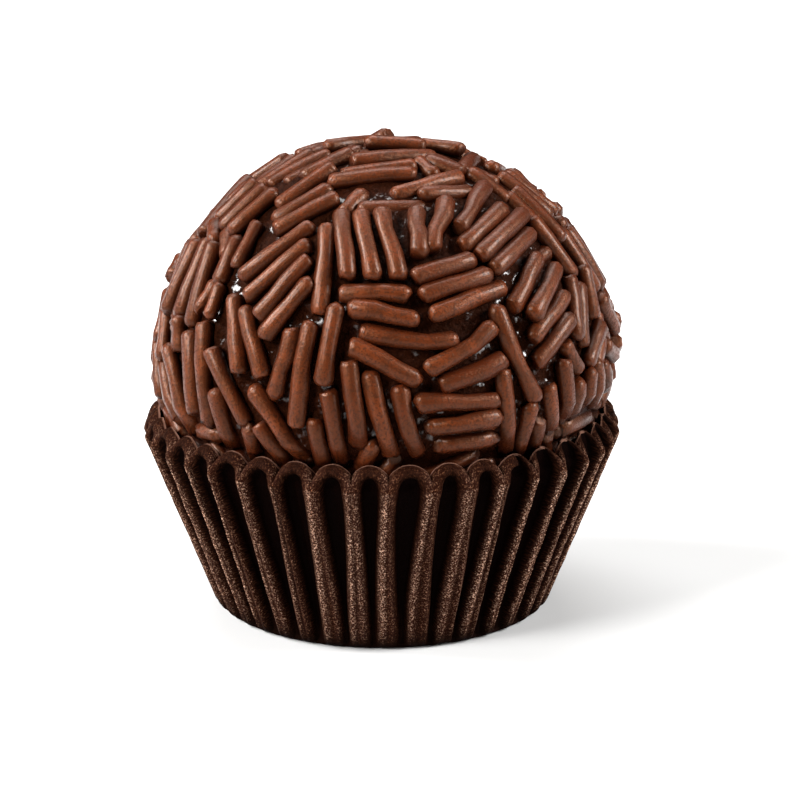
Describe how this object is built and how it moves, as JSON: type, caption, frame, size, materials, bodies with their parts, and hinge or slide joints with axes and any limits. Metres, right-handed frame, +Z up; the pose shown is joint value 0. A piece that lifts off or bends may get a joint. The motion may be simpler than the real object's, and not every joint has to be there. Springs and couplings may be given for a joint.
{
  "type": "brigadeiro",
  "caption": "Round fudge sweet covered in chocolate sprinkles, standing in its pleated dark paper case.",
  "frame": {"origin": "middle of the paper case's flat underside, on the surface that the sweet stands on", "axes": "+Z up, along the axis of the paper case; -Y towards the viewer; +X to the right"},
  "size_m": [0.0326, 0.0326, 0.0325],
  "materials": {
    "case_paper": "matte",
    "sprinkled_fudge": "satin"
  },
  "bodies": {
    "root": {"paper_case": "case_paper", "sprinkled_ball": "sprinkled_fudge"}
  },
  "joints": []
}
